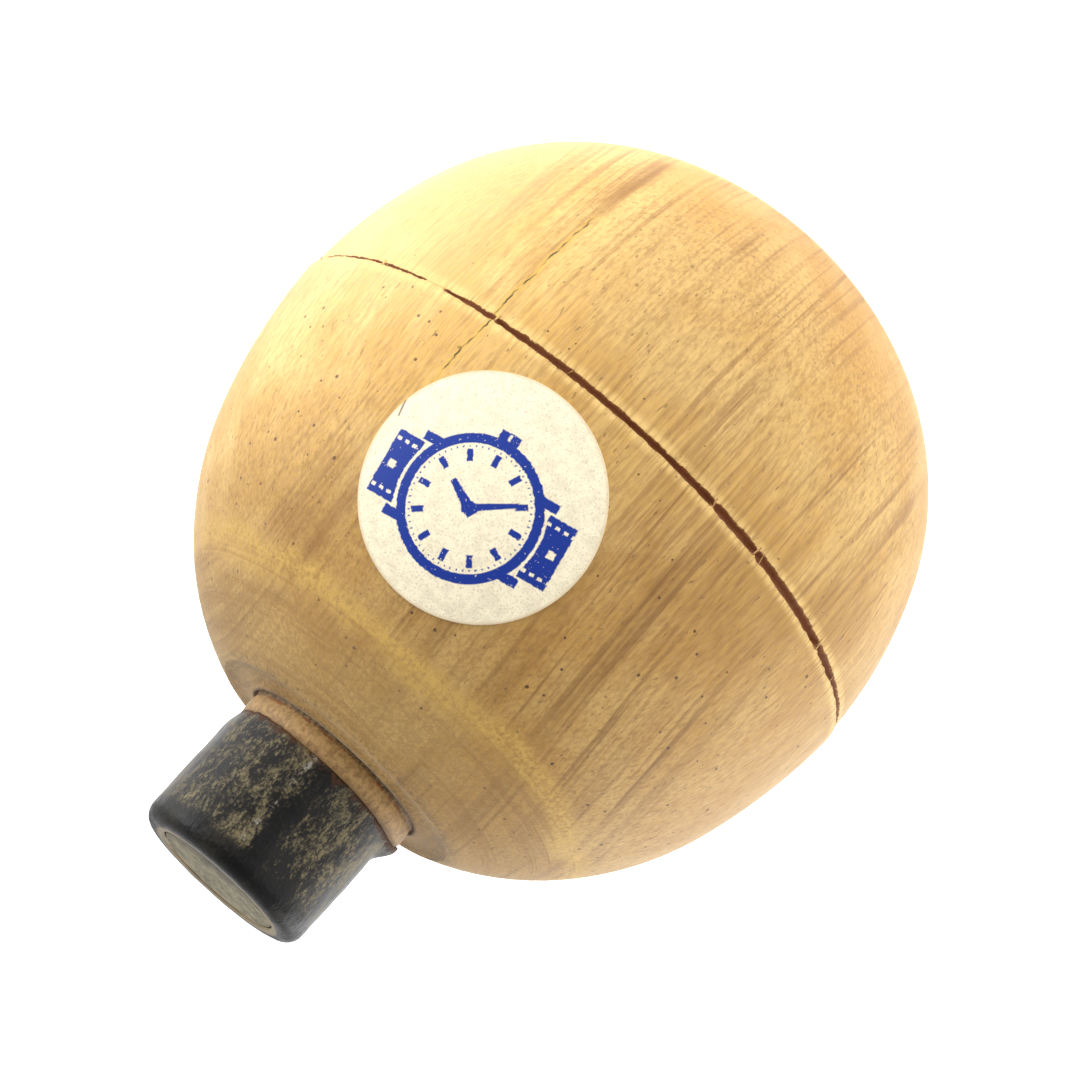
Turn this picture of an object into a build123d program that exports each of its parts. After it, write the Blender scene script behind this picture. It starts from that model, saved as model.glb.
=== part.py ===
from build123d import *

import os

# A friction ball for opening watch cases: a turned wooden palm ball whose neck carries a
# steel ferrule, with a rubber plug gripped in the ferrule's mouth and a paper label glued
# on the ball. Millimetres. The ball stands on its sanded pole, the ferrule points up (+Z),
# the origin is the middle of the pole flat, and the label faces the front (-Y).

# Wooden ball
ball_d = 57.2           # across the lip just above the groove
pole_flat_d = 14.0      # sanded flat where the ball was parted off the lathe
pole_h = 28.7           # pole flat up to the middle of the groove
neck_h = 28.4           # middle of the groove up to the neck crease
lip_step = 0.2          # the pole half is this much smaller in radius at the groove
groove_w = 0.8          # scored decorative groove, a V in section
groove_depth = 0.9
lip_lean = 0.06         # inward lean of the neck half where it leaves the groove

# Where the three arcs of each half meet: share of the ball's radius, share of the half's height
BELLY_END = (0.917, 0.445)
POLE_SHOULDER_END = (0.623, 0.835)
NECK_SHOULDER_END = (0.711, 0.795)

# Turned neck
cove_w = 3.35           # shallow hollow between the crease and the scored line
cove_depth = 0.35
cove_rise = 0.2
score_w = 0.35          # thin line scored round the foot of the collar
score_depth = 0.3
collar_h = 2.0          # scored line up to the ferrule's edge
collar_step = 0.15      # collar stands this proud of the ferrule, in radius
collar_flare = 0.2      # extra radius at the foot of the collar
collar_bulge = 0.15

# Ferrule, drawn steel with a rolled-in lip
ferrule_d = 15.88
ferrule_wall = 0.8
ferrule_h = 11.3        # the length that shows above the collar
ferrule_corner = 1.3    # outer radius of the rolled end
lip_w = 2.3             # lip, from the outside diameter in to its opening

# What the ferrule holds
plug_h = 5.0            # rubber plug, back face to working face
tenon_gap = 0.0         # the plug is pressed hard against the tenon
tenon_chamfer = 0.4

# Paper label
label_d = 19.05
paper_t = 0.12
label_gap = 1.6         # groove's lip up to the label's near edge, along the ball

# Derived sizes
ball_r = ball_d / 2
ferrule_r = ferrule_d / 2
bore_r = ferrule_r - ferrule_wall
opening_r = ferrule_r - lip_w
bore_corner = ferrule_corner - ferrule_wall
crease_z = pole_h + neck_h
score_z = crease_z + cove_rise
collar_top_z = score_z + collar_h
collar_r = ferrule_r + collar_step
score_r = collar_r + collar_flare
end_z = collar_top_z + ferrule_h
lip_back_z = end_z - ferrule_wall
plug_back_z = end_z - plug_h
tenon_top_z = plug_back_z - tenon_gap


def half_point(share, half_h, up):
    """A point on the outline of one half, from its shares of radius and height."""
    return (ball_r * share[0], pole_h + up * half_h * share[1])


def neck_half_arcs():
    """Outline of the neck half: belly, shoulder and neck arcs, each tangent to the last."""
    start = (ball_r, pole_h + groove_w / 2)
    crease = (score_r + score_w / 2 + cove_w, crease_z)
    belly = TangentArc(start, half_point(BELLY_END, neck_h, 1), tangent=(-lip_lean, 1))
    shoulder = TangentArc(belly @ 1, half_point(NECK_SHOULDER_END, neck_h, 1), tangent=belly % 1)
    neck = TangentArc(shoulder @ 1, crease, tangent=shoulder % 1)
    return belly, shoulder, neck


def raised(arc, share, height):
    """The point that stands this high off the outside of an arc, at a share of its length."""
    return arc @ share + (arc % share).rotate(Axis.Z, -90) * height


def pole_half_arcs():
    """Outline of the pole half, from the groove down to the sanded flat."""
    start = (ball_r - lip_step, pole_h - groove_w / 2)
    belly = TangentArc(start, half_point(BELLY_END, pole_h, -1), tangent=(0, -1))
    shoulder = TangentArc(belly @ 1, half_point(POLE_SHOULDER_END, pole_h, -1), tangent=belly % 1)
    TangentArc(shoulder @ 1, (pole_flat_d / 2, 0), tangent=shoulder % 1)
    return start


# Wooden ball, one turning with its neck and the tenon that goes up inside the ferrule
with BuildPart() as wooden_ball:
    with BuildSketch(Plane.XZ):
        with BuildLine():
            pole_lip = pole_half_arcs()
            belly, shoulder, neck = neck_half_arcs()
            Polyline(pole_lip, (ball_r - groove_depth, pole_h), belly @ 0)
            cove_end = (score_r + score_w / 2, score_z)
            SagittaArc(neck @ 1, cove_end, cove_depth)
            collar_foot = (score_r - score_w / 2, score_z)
            Polyline(cove_end, (score_r, score_z - score_depth), collar_foot)
            SagittaArc(collar_foot, (collar_r, collar_top_z), -collar_bulge)
            Polyline(
                (collar_r, collar_top_z),
                (bore_r, collar_top_z),
                (bore_r, tenon_top_z - tenon_chamfer),
                (bore_r - tenon_chamfer, tenon_top_z),
                (0, tenon_top_z),
                (0, 0),
                (pole_flat_d / 2, 0),
            )
        make_face()
    revolve(axis=Axis.Z)
wooden_ball.part.label = "wooden_ball"

# Ferrule: a drawn tube seated on the collar, its far end rolled in to a lip
with BuildPart() as ferrule:
    with BuildSketch(Plane.XZ):
        with BuildLine():
            FilletPolyline(
                (ferrule_r, collar_top_z),
                (ferrule_r, end_z),
                (opening_r, end_z),
                radius=ferrule_corner,
            )
            FilletPolyline(
                (opening_r, lip_back_z),
                (bore_r, lip_back_z),
                (bore_r, collar_top_z),
                radius=bore_corner,
            )
            Line((opening_r, end_z), (opening_r, lip_back_z))
            Line((bore_r, collar_top_z), (ferrule_r, collar_top_z))
        make_face()
    revolve(axis=Axis.Z)
ferrule.part.label = "ferrule"

# Rubber plug: its wide back is trapped behind the lip and its nose is level with the rim
with BuildPart() as friction_plug:
    with BuildSketch(Plane.XZ):
        with BuildLine():
            FilletPolyline(
                (bore_r, plug_back_z),
                (bore_r, lip_back_z),
                (opening_r, lip_back_z),
                radius=bore_corner,
            )
            Polyline(
                (opening_r, lip_back_z),
                (opening_r, end_z),
                (0, end_z),
                (0, plug_back_z),
                (bore_r, plug_back_z),
            )
        make_face()
    revolve(axis=Axis.Z)
friction_plug.part.label = "friction_plug"

# Paper label: a round cut from a skin that follows the outside of the neck half
with BuildPart() as paper_label:
    with BuildSketch(Plane.XZ):
        with BuildLine():
            arcs = neck_half_arcs()
            for arc in arcs:
                TangentArc(raised(arc, 0, paper_t), raised(arc, 1, paper_t), tangent=arc % 0)
            Line(arcs[0] @ 0, raised(arcs[0], 0, paper_t))
            Line(arcs[-1] @ 1, raised(arcs[-1], 1, paper_t))
        make_face()
    revolve(axis=Axis.Z)
    side = Wire(arcs)
    label_share = (label_gap + label_d / 2) / side.length
    middle = side @ label_share
    along = side % label_share
    label_plane = Plane(
        origin=(0, -middle.X, middle.Y),
        x_dir=(1, 0, 0),
        z_dir=(0, -along.Y, -along.X),
    )
    with BuildSketch(label_plane.offset(-ball_r / 2)):
        Circle(label_d / 2)
    extrude(amount=ball_r, mode=Mode.INTERSECT)
paper_label.part.label = "paper_label"

os.makedirs("parts", exist_ok=True)
for piece in (wooden_ball, ferrule, friction_plug, paper_label):
    export_step(piece.part, f"parts/{piece.part.label}.step")
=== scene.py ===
# %% [markdown]
# # A friction ball for opening watch cases
# The tool is a turned wooden ball that fills the palm. Its neck carries a short steel ferrule, and a
# rubber plug in the ferrule's mouth grips the screwed back of a watch case. This lesson makes the looks
# around a finished CAD model: the CAD says where each piece is, and each piece here stands for one node.

import math

import bmesh
import bpy
from mathutils import Matrix, Vector, noise


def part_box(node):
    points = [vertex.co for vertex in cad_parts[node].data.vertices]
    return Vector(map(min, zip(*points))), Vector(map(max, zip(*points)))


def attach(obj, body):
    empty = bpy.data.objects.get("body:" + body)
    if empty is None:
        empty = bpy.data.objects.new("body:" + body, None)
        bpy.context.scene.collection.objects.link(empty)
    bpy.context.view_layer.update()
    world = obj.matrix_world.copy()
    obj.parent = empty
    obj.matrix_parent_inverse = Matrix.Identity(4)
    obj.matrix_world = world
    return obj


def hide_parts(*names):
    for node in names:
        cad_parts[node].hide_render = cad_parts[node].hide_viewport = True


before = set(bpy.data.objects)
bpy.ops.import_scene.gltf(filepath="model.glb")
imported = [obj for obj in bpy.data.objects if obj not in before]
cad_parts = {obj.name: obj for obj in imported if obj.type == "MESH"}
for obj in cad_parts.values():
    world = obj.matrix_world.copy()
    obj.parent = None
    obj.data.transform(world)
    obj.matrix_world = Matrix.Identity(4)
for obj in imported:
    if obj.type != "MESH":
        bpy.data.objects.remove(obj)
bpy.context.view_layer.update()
print("CAD nodes:", sorted(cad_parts))

# %% [markdown]
# The pieces are modelled in millimetres, which suit a tool that fits in a hand, and go down to metres as
# the last step. The main sizes are read back from the CAD nodes, so the looks can't drift from them.

# %% Main sizes, in millimetres
MM = 0.001
wood_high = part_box("wooden_ball")[1] / MM
steel_low, steel_high = (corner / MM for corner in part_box("ferrule"))
plug_low, plug_high = (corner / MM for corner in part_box("friction_plug"))
ball_r = wood_high.x
ferrule_r = steel_high.x
bore_r = plug_high.x
collar_top_z = steel_low.z
end_z = steel_high.z
print(f"ball {2 * ball_r:.1f} across, ferrule {2 * ferrule_r:.2f} across, {end_z:.1f} tall")

# %% [markdown]
# ## Camera
# The ball is seen from a little above its middle, from the label's side, with the camera rolled so that
# the ferrule points down and to the left. A long lens keeps the ball round. The camera's axes are given
# as directions, because a roll this large is hard to read from angles.

# %% Camera
CAMERA_AT = Vector((-56.85, -282.19, 112.82)) * MM
CAMERA_RIGHT = Vector((-0.76354548, -0.03146722, -0.64498691)).normalized()
CAMERA_BACK = Vector((-0.18909763, -0.94413247, 0.26991844)).normalized()
LENS = 122.15

camera_up = CAMERA_BACK.cross(CAMERA_RIGHT).normalized()
camera_right = camera_up.cross(CAMERA_BACK)
view_data = bpy.data.cameras.new("bench_view")
view_data.lens = LENS
view_data.sensor_width = 36.0
view_data.clip_start = 0.01
view_data.clip_end = 20.0
view_data.dof.use_dof = False
camera = bpy.data.objects.new("bench_view", view_data)
axes = Matrix((camera_right, camera_up, CAMERA_BACK)).transposed().to_4x4()
camera.matrix_world = Matrix.Translation(CAMERA_AT) @ axes
bpy.context.scene.collection.objects.link(camera)
bpy.context.scene.camera = camera
print("camera roll, degrees:", round(math.degrees(math.atan2(camera_right.z, camera_up.z)), 1))

# %% [markdown]
# ## Shader maths
# A finish is a small calculation: stretch a noise along the grain, cut it at a level, mix two browns by
# it. Wiring that by hand hides the idea, so one class wraps a socket and lets Python's own signs add the
# Math nodes, and another adds any other node from its type, its settings and what its sockets get.

# %% A socket that can be used in sums
class Signal:
    """An output socket. An expression on signals and numbers adds the Math nodes for it."""

    def __init__(self, nodes, socket):
        self.nodes = nodes
        self.socket = socket

    def math(self, operation, *terms):
        sockets = dict(enumerate(terms))
        return self.nodes.node("ShaderNodeMath", {"operation": operation}, sockets)

    def __add__(self, other):
        return self.math("ADD", self, other)

    def __radd__(self, other):
        return self.math("ADD", other, self)

    def __sub__(self, other):
        return self.math("SUBTRACT", self, other)

    def __rsub__(self, other):
        return self.math("SUBTRACT", other, self)

    def __mul__(self, other):
        return self.math("MULTIPLY", self, other)

    def __rmul__(self, other):
        return self.math("MULTIPLY", other, self)

    def __truediv__(self, other):
        return self.math("DIVIDE", self, other)

    def __pow__(self, other):
        return self.math("POWER", self, other)

    def __abs__(self):
        return self.math("ABSOLUTE", self)

    def __or__(self, other):
        return self.math("MAXIMUM", self, other)


# %% A node tree that nodes are added to
class Nodes:
    """The node tree of a material or of the world, emptied and ready to be filled."""

    def __init__(self, owner):
        owner.use_nodes = True
        self.tree = owner.node_tree
        self.tree.nodes.clear()

    def node(self, kind, settings=None, sockets=None, out=0):
        """Add a node: its type, its settings, then the values or links of its sockets."""
        made = self.tree.nodes.new(kind)
        for name, value in (settings or {}).items():
            setattr(made, name, value)
        for name, value in (sockets or {}).items():
            if isinstance(value, Signal):
                self.tree.links.new(value.socket, made.inputs[name])
            else:
                made.inputs[name].default_value = value
        return Signal(self, made.outputs[out]) if len(made.outputs) else made

    def step(self, value, low, high):
        """0 below low and 1 above high, with a smooth ramp between them. low may be above high."""
        sockets = {"Value": value, "From Min": low, "From Max": high}
        return self.node("ShaderNodeMapRange", {"interpolation_type": "SMOOTHSTEP"}, sockets)

    def noise(self, at, detail=2.0, roughness=0.5, distortion=0.0):
        """Noise between 0 and 1, mostly near 0.5."""
        sockets = {
            "Vector": at,
            "Scale": 1.0,
            "Detail": detail,
            "Roughness": roughness,
            "Distortion": distortion,
        }
        return self.node("ShaderNodeTexNoise", {"noise_dimensions": "3D"}, sockets)

    def stretch(self, at, x, y, z, shift=0.0):
        """Scale a place along each axis, to stretch or squeeze the pattern that reads it."""
        sockets = {"Vector": at, "Scale": (x, y, z), "Location": (shift, shift, shift)}
        return self.node("ShaderNodeMapping", {}, sockets)

    def mix(self, factor, first, second, blend="MIX"):
        """Mix two colours."""
        settings = {"data_type": "RGBA", "blend_type": blend, "clamp_factor": True}
        return self.node("ShaderNodeMix", settings, {0: factor, 6: first, 7: second}, out=2)

    def split(self, vector):
        """The x, y and z of a vector."""
        first = self.node("ShaderNodeSeparateXYZ", {}, {0: vector})
        outputs = first.socket.node.outputs
        return [Signal(self, outputs[axis]) for axis in range(3)]

    def join(self, x, y, z):
        """A vector from its three parts."""
        return self.node("ShaderNodeCombineXYZ", {}, {0: x, 1: y, 2: z})


# %% Colours and finishes
def paint(red, green, blue):
    """A colour from the 0 to 255 scale of a paint card, made linear for the shader."""
    shares = [level / 255 for level in (red, green, blue)]
    linear = [s / 12.92 if s <= 0.04045 else ((s + 0.055) / 1.055) ** 2.4 for s in shares]
    return (*linear, 1.0)


def start_finish(name):
    """A new material, its nodes, and the place on the piece in millimetres."""
    material = bpy.data.materials.new(name)
    nodes = Nodes(material)
    place = nodes.node("ShaderNodeTexCoord", {}, {}, out="Object")
    place_mm = nodes.node("ShaderNodeVectorMath", {"operation": "SCALE"}, {0: place, "Scale": 1 / MM})
    return material, nodes, place_mm


def finish_surface(nodes, height, depth, sockets):
    """Close a finish: a bump of this depth from height, a Principled shader and the output."""
    bump = nodes.node(
        "ShaderNodeBump", {}, {"Height": height, "Distance": depth * MM, "Strength": 1.0}
    )
    shader = nodes.node("ShaderNodeBsdfPrincipled", {}, {**sockets, "Normal": bump})
    nodes.node("ShaderNodeOutputMaterial", {}, {"Surface": shader})
    print("finish with", len(nodes.tree.nodes), "nodes")


# %% [markdown]
# ## The set
# Small tools are shown on a white table inside a white tent, so bright that the table leaves no edge and
# no shadow. The table glows here, which lights the ball softly from its pole side. The tent is the world:
# bright at the sides and behind the ball, dimmer where the camera stands, with a small dark hole for the
# lens. A dark coat stands near the tool on the camera's side and is seen only in reflections. It makes
# part of the dark stripe down the ferrule, and the rest of that stripe is a painted reflection in the
# steel's finish.

# %% The floor
FLOOR_HALF = 6.0
FLOOR_GLOW = 0.92

bm = bmesh.new()
bmesh.ops.create_grid(bm, x_segments=1, y_segments=1, size=FLOOR_HALF)
floor_mesh = bpy.data.meshes.new("white_table")
bm.to_mesh(floor_mesh)
bm.free()
floor = bpy.data.objects.new("white_table", floor_mesh)
bpy.context.scene.collection.objects.link(floor)

table_white = bpy.data.materials.new("table_white")
table_nodes = Nodes(table_white)
table_sockets = {
    "Base Color": paint(250, 250, 250),
    "Roughness": 0.6,
    "Emission Color": paint(255, 255, 255),
    "Emission Strength": FLOOR_GLOW,
}
table_shader = table_nodes.node("ShaderNodeBsdfPrincipled", {}, table_sockets)
table_nodes.node("ShaderNodeOutputMaterial", {}, {"Surface": table_shader})
floor_mesh.materials.append(table_white)
print("white table,", 2 * FLOOR_HALF, "m across")

# %% The tent
TENT_BRIGHT = 0.85
TENT_FRONT = 0.54
TENT_HOLE = 0.0
TENT_SEEN = 1.1
FRONT_RAMP = (-0.1, 0.85)
HOLE_RAMP = (0.955, 0.985)

tent = bpy.data.worlds.new("tent")
bpy.context.scene.world = tent
sky = Nodes(tent)
looking = sky.node("ShaderNodeTexCoord", {}, {}, out="Generated")
dot_sockets = {0: looking, 1: CAMERA_BACK}
facing = sky.node("ShaderNodeVectorMath", {"operation": "DOT_PRODUCT"}, dot_sockets, out="Value")
front = sky.step(facing, *FRONT_RAMP)
hole = sky.step(facing, *HOLE_RAMP)
tent_light = TENT_BRIGHT + front * (TENT_FRONT - TENT_BRIGHT) + hole * (TENT_HOLE - TENT_FRONT)
seen = sky.node("ShaderNodeLightPath", {}, {}, out="Is Camera Ray")
tent_seen = tent_light * (1 - seen) + seen * TENT_SEEN
tent_shader = sky.node("ShaderNodeBackground", {}, {"Color": (1, 1, 1, 1), "Strength": tent_seen})
sky.node("ShaderNodeOutputWorld", {}, {"Surface": tent_shader})
bpy.context.scene.view_settings.view_transform = "Standard"
print("tent light", TENT_FRONT, "to", TENT_BRIGHT)

# %% The dark coat on the camera's side
CARD_AWAY = 0.2
CARD_HALF_WIDE = 0.042
CARD_HIGH = 0.5

bm = bmesh.new()
bmesh.ops.create_grid(bm, x_segments=1, y_segments=1, size=0.5)
bmesh.ops.scale(bm, vec=(2 * CARD_HALF_WIDE, CARD_HIGH, 1), verts=bm.verts)
bmesh.ops.rotate(bm, cent=(0, 0, 0), matrix=Matrix.Rotation(math.pi / 2, 3, "X"), verts=bm.verts)
bmesh.ops.translate(bm, vec=(0, -CARD_AWAY, CARD_HIGH / 2), verts=bm.verts)
view_turn = math.atan2(CAMERA_AT.y, CAMERA_AT.x) + math.pi / 2
bmesh.ops.rotate(bm, cent=(0, 0, 0), matrix=Matrix.Rotation(view_turn, 3, "Z"), verts=bm.verts)
card_mesh = bpy.data.meshes.new("dark_coat")
bm.to_mesh(card_mesh)
bm.free()
card = bpy.data.objects.new("dark_coat", card_mesh)
bpy.context.scene.collection.objects.link(card)
card.visible_camera = False
card.visible_diffuse = False
card.visible_shadow = False
card.visible_transmission = False
coat_black = bpy.data.materials.new("coat_black")
coat_nodes = Nodes(coat_black)
coat_sockets = {"Base Color": paint(12, 12, 12), "Roughness": 0.9}
coat_shader = coat_nodes.node("ShaderNodeBsdfPrincipled", {}, coat_sockets)
coat_nodes.node("ShaderNodeOutputMaterial", {}, {"Surface": coat_shader})
card_mesh.materials.append(coat_black)
print("dark coat", 2 * CARD_HALF_WIDE, "m wide")

# %% Two soft boxes
BALL_MIDDLE = Vector((0, 0, 0.03))


def soft_box(name, at, size, power):
    """A square soft light that looks at the middle of the ball."""
    light = bpy.data.lights.new(name, "AREA")
    light.shape = "SQUARE"
    light.size = size
    light.energy = power
    lamp = bpy.data.objects.new(name, light)
    back = Vector(at) - BALL_MIDDLE
    lamp.matrix_world = Matrix.Translation(at) @ back.to_track_quat("Z", "Y").to_matrix().to_4x4()
    bpy.context.scene.collection.objects.link(lamp)


soft_box("key_box", (0.66, -0.2, 0.14), 0.5, 3.8)
soft_box("back_box", (-0.5, 0.42, 0.2), 0.5, 2.4)
print("two soft boxes")

# %% [markdown]
# ## Drawing an outline
# A lathe makes every solid part of this tool, so each starts as half of its section, drawn in the XZ
# plane by pulling one vertex along, and is then spun round Z. A straight run extrudes the vertex. An arc
# spins it about the arc's centre, which follows from where the arc starts, its direction there and its
# end, so that each arc leaves the last one smoothly.

# %% Straight runs and arcs
def start_outline(x, z):
    """A new bmesh with one vertex at this radius and height."""
    bm = bmesh.new()
    return bm, bm.verts.new((x, 0, z))


def line_to(bm, tip, x, z, steps=1):
    """Pull the tip in a straight run to (x, z), with a vertex at each step."""
    stride = (Vector((x, 0, z)) - tip.co) / steps
    for _ in range(steps):
        tip = bmesh.ops.extrude_vert_indiv(bm, verts=[tip])["verts"][0]
        bmesh.ops.translate(bm, vec=stride, verts=[tip])
    return tip


def arc_to(bm, tip, x, z, heading, steps):
    """Spin the tip along the arc to (x, z) that leaves it in this heading."""
    start = tip.co.copy()
    chord = Vector((x, 0, z)) - start
    heading = Vector(heading).normalized()
    side = Vector((heading.z, 0, -heading.x))
    radius = chord.length_squared / (2 * chord.dot(side))
    sweep = 2 * math.atan2(chord.dot(side), chord.dot(heading))
    centre = start + side * radius
    spun = bmesh.ops.spin(bm, geom=[tip], cent=centre, axis=(0, 1, 0), angle=sweep, steps=steps)
    tip = spun["geom_last"][0]
    heading = Matrix.Rotation(sweep, 3, "Y") @ heading
    return tip, heading, (centre, abs(radius))


def bulge_to(bm, tip, x, z, bulge, steps):
    """Spin the tip along a shallow arc to (x, z). A positive bulge is to the left of the chord."""
    chord = Vector((x, 0, z)) - tip.co
    lean = Matrix.Rotation(-2 * math.atan(2 * bulge / chord.length), 3, "Y")
    return arc_to(bm, tip, x, z, lean @ chord, steps)[0]


# %% Turn the outline on the lathe
def turn(bm, steps):
    """Spin the outline once round Z, close the seam and the poles, and point the faces outwards."""
    outline = bm.verts[:] + bm.edges[:]
    bmesh.ops.spin(
        bm, geom=outline, cent=(0, 0, 0), axis=(0, 0, 1), angle=2 * math.pi, steps=steps, use_merge=True
    )
    bmesh.ops.remove_doubles(bm, verts=bm.verts, dist=0.0005)
    bmesh.ops.recalc_face_normals(bm, faces=bm.faces)


def ease(value, low, high):
    """0 below low and 1 above high, with a smooth ramp between."""
    share = min(1.0, max(0.0, (value - low) / (high - low)))
    return share * share * (3 - 2 * share)


def turn_between(angle, middle):
    """The smallest turn from middle to angle, in degrees, both in degrees."""
    return (angle - middle + 180) % 360 - 180


def put_in_scene(bm, name, node, material):
    """Bring a piece down to metres, make its object, and tie it to the frame."""
    bmesh.ops.scale(bm, vec=(MM, MM, MM), verts=bm.verts)
    mesh = bpy.data.meshes.new(name)
    bm.to_mesh(mesh)
    bm.free()
    mesh.shade_smooth()
    mesh.materials.append(material)
    piece = bpy.data.objects.new(name, mesh)
    bpy.context.scene.collection.objects.link(piece)
    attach(piece, "root")
    if node:
        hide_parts(node)
    print(name, len(mesh.polygons), "faces")


# %% [markdown]
# ## The wooden ball
# The ball's outline is three arcs on each side of a groove that was scored round its middle, then a
# crease, a shallow cove, a thin scored line and the collar that the ferrule sits on. It is drawn from the
# bottom of the groove both ways, and extra cuts near the groove leave vertices for its ragged lips.

# %% How the ferrule sits
SEAT_SHIFT = Vector((0.56, -0.11, 0.0))


def seat(point, start, end):
    """Move a point sideways with the ferrule, which was driven on a little off the ball's middle."""
    return point + SEAT_SHIFT * ease(point.z, start, end)


print("ferrule sits", round(SEAT_SHIFT.length, 2), "mm off the middle")

# %% Sizes of the ball's outline
GROOVE_Z = 28.7
GROOVE_HALF = 0.4
GROOVE_DEPTH = 0.9
LIP_STEP = 0.2
LIP_LEAN = 0.06
NECK_HALF_H = 28.4
BELLY_SHARE = (0.917, 0.445)
POLE_SHARE = (0.623, 0.835)
NECK_SHARE = (0.711, 0.795)
POLE_FLAT_R = 7.0
CREASE_Z = GROOVE_Z + NECK_HALF_H
COVE_RISE = 0.2
COVE_WIDE = 3.35
COVE_DEPTH = 0.35
SCORE_Z = CREASE_Z + COVE_RISE
SCORE_HALF = 0.175
SCORE_DEPTH = 0.3
COLLAR_STEP = 0.15
COLLAR_FLARE = 0.2
COLLAR_BULGE = 0.15
TENON_CHAMFER = 0.4
collar_r = ferrule_r + COLLAR_STEP
score_r = collar_r + COLLAR_FLARE
crease_r = score_r + SCORE_HALF + COVE_WIDE
tenon_top_z = plug_low.z
ROUND_STEPS = 720

# %% Outline of the ball
ball, groove_bottom = start_outline(ball_r - GROOVE_DEPTH, GROOVE_Z)
tip = line_to(ball, groove_bottom, ball_r, GROOVE_Z + GROOVE_HALF, 3)
heading = (-LIP_LEAN, 0, 1)
belly_end = (ball_r * BELLY_SHARE[0], GROOVE_Z + NECK_HALF_H * BELLY_SHARE[1])
neck_end = (ball_r * NECK_SHARE[0], GROOVE_Z + NECK_HALF_H * NECK_SHARE[1])
tip, heading, belly_arc = arc_to(ball, tip, *belly_end, heading, 12)
tip, heading, shoulder_arc = arc_to(ball, tip, *neck_end, heading, 12)
tip, heading, neck_arc = arc_to(ball, tip, crease_r, CREASE_Z, heading, 8)
tip = line_to(ball, tip, crease_r - 0.12, CREASE_Z + 0.02)
tip = bulge_to(ball, tip, score_r + SCORE_HALF, SCORE_Z, COVE_DEPTH, 8)
tip = line_to(ball, tip, score_r, SCORE_Z - SCORE_DEPTH, 2)
tip = line_to(ball, tip, score_r - SCORE_HALF, SCORE_Z, 2)
tip = bulge_to(ball, tip, collar_r, collar_top_z, -COLLAR_BULGE, 7)
tip = line_to(ball, tip, bore_r, collar_top_z)
tip = line_to(ball, tip, bore_r, tenon_top_z - TENON_CHAMFER)
tip = line_to(ball, tip, bore_r - TENON_CHAMFER, tenon_top_z)
line_to(ball, tip, 0, tenon_top_z)

tip = line_to(ball, groove_bottom, ball_r - LIP_STEP, GROOVE_Z - GROOVE_HALF, 3)
belly_low = (ball_r * BELLY_SHARE[0], GROOVE_Z - GROOVE_Z * BELLY_SHARE[1])
pole_low = (ball_r * POLE_SHARE[0], GROOVE_Z - GROOVE_Z * POLE_SHARE[1])
tip, heading, _ = arc_to(ball, tip, *belly_low, (0, 0, -1), 12)
tip, heading, _ = arc_to(ball, tip, *pole_low, heading, 12)
tip = arc_to(ball, tip, POLE_FLAT_R + 0.25, 0.03, heading, 10)[0]
tip = line_to(ball, tip, POLE_FLAT_R - 0.3, 0)
line_to(ball, tip, 0, 0, 3)
for offset in (0.5, 0.65, 0.9, 1.3, 1.9):
    for level in (GROOVE_Z - offset, GROOVE_Z + offset):
        bmesh.ops.bisect_plane(
            ball,
            geom=ball.verts[:] + ball.edges[:],
            plane_co=(0, 0, level),
            plane_no=(0, 0, 1),
            dist=0.0001,
        )
print("ball outline:", len(ball.verts), "vertices, ends at", tuple(round(v, 2) for v in tip.co))
turn(ball, ROUND_STEPS)

# %% [markdown]
# A scored groove in dry wood is never even: the tool bit deeply on one side and only scratched the other,
# its lips are torn, and a few fibres still bridge it. Each vertex near the groove is moved by a smooth
# noise that depends on the angle round the ball. How deep in the groove a vertex lies is kept as an
# attribute, so the finish can darken it there.

# %% How the groove changes round the ball
SHALLOW_AT = -30.0
BRIDGES = (-151.2, -128.5, -118.1, -73.4, -47.0, -22.0, 15.0, 64.0, 121.0)
WIDE_AT = -138.0
TORN_REACH = 2.6
CRACK_X = 8.45
CRACK_LOW = 15.5
CRACK_HIGH = 36.5


def wander(angle, per_mm, seed):
    """Smooth noise round the ball, with this many wiggles in a millimetre."""
    reach = ball_r * per_mm
    turned = math.radians(angle)
    return noise.noise(Vector((math.cos(turned) * reach, math.sin(turned) * reach, seed)))


def groove_at(angle):
    """Half width and depth of the groove, and how far its middle has wandered, at this angle."""
    cut = ease(abs(turn_between(angle, SHALLOW_AT)), 22, 58)
    wide = 1 - ease(abs(turn_between(angle, WIDE_AT)), 8, 34)
    half = 0.16 + 0.15 * cut + 0.1 * wide + 0.05 * wander(angle, 0.4, 3.1)
    depth = 0.35 + 0.5 * cut + 0.12 * wander(angle, 0.7, 8.3)
    gap = min(abs(turn_between(angle, bridge)) for bridge in BRIDGES)
    filled = 1 - ease(gap * math.radians(ball_r), 0.08, 0.3)
    skip = ease(wander(angle, 0.35, 5.7), 0.05, 0.3) * (1 - cut)
    filled = max(filled * 0.75, skip)
    return half * (1 - 0.5 * filled), depth * (1 - 0.8 * filled), 0.06 * wander(angle, 0.1, 1.7)


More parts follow.
